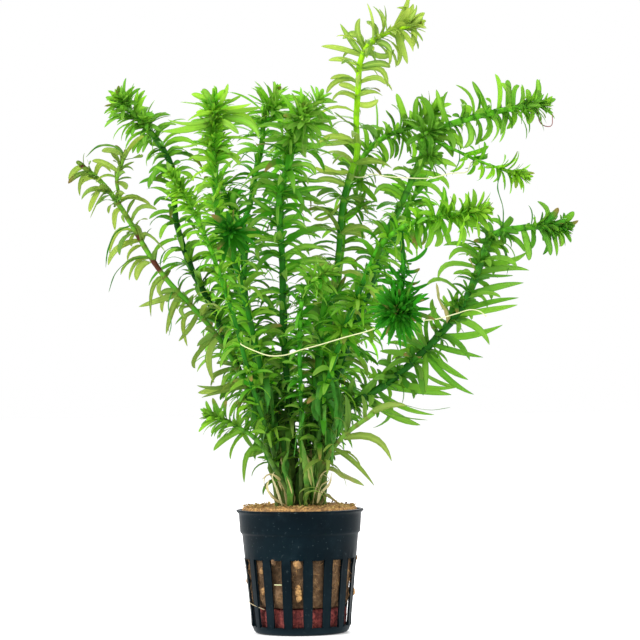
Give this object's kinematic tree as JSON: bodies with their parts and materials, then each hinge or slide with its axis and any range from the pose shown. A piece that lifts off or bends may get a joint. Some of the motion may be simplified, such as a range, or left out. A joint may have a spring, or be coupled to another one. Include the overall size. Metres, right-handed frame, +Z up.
{
  "type": "potted brazilian waterweed",
  "caption": "Bushy Brazilian waterweed shoots with whorled leaves, planted in wool in a small black slotted net pot.",
  "frame": {"origin": "centre of the pot's flat foot, on the pot's axis, at the level the pot stands on", "axes": "+Z up along the pot's axis, +X to the right and -Y towards the viewer in the picture"},
  "size_m": [0.2036, 0.148, 0.2561],
  "materials": {
    "pot_plastic": "dark blue-green moulded plastic, semi-matt",
    "red_fibre": "loose deep red fibre, matt",
    "wool": "crumbly orange-brown mineral wool, matt",
    "foliage": "thin translucent green leaf, semi-gloss"
  },
  "bodies": {
    "root": {"net_pot": "pot_plastic", "red_pad": "red_fibre", "wool_plug": "wool", "shoot_far_left": "foliage", "twig_far_left": "foliage", "shoot_upper_left": "foliage", "shoot_left_front": "foliage", "shoot_left_tall": "foliage", "rosette_left": "foliage", "shoot_left_dark": "foliage", "shoot_middle_left": "foliage", "shoot_middle": "foliage", "shoot_tallest": "foliage", "shoot_upper_right": "foliage", "branch_right_thin": "foliage", "shoot_right_behind": "foliage", "shoot_right_front": "foliage", "rosette_right": "foliage", "shoot_lower_right": "foliage", "shoot_low_right": "foliage", "shoot_front": "foliage", "stem_cut": "foliage", "shoot_low_left": "foliage", "shoot_back_left": "foliage", "shoot_back_tall": "foliage", "shoot_back_middle": "foliage", "shoot_back_right": "foliage", "shoot_back_low_left": "foliage", "shoot_back_low": "foliage", "shoot_back_low_right": "foliage"}
  },
  "joints": []
}
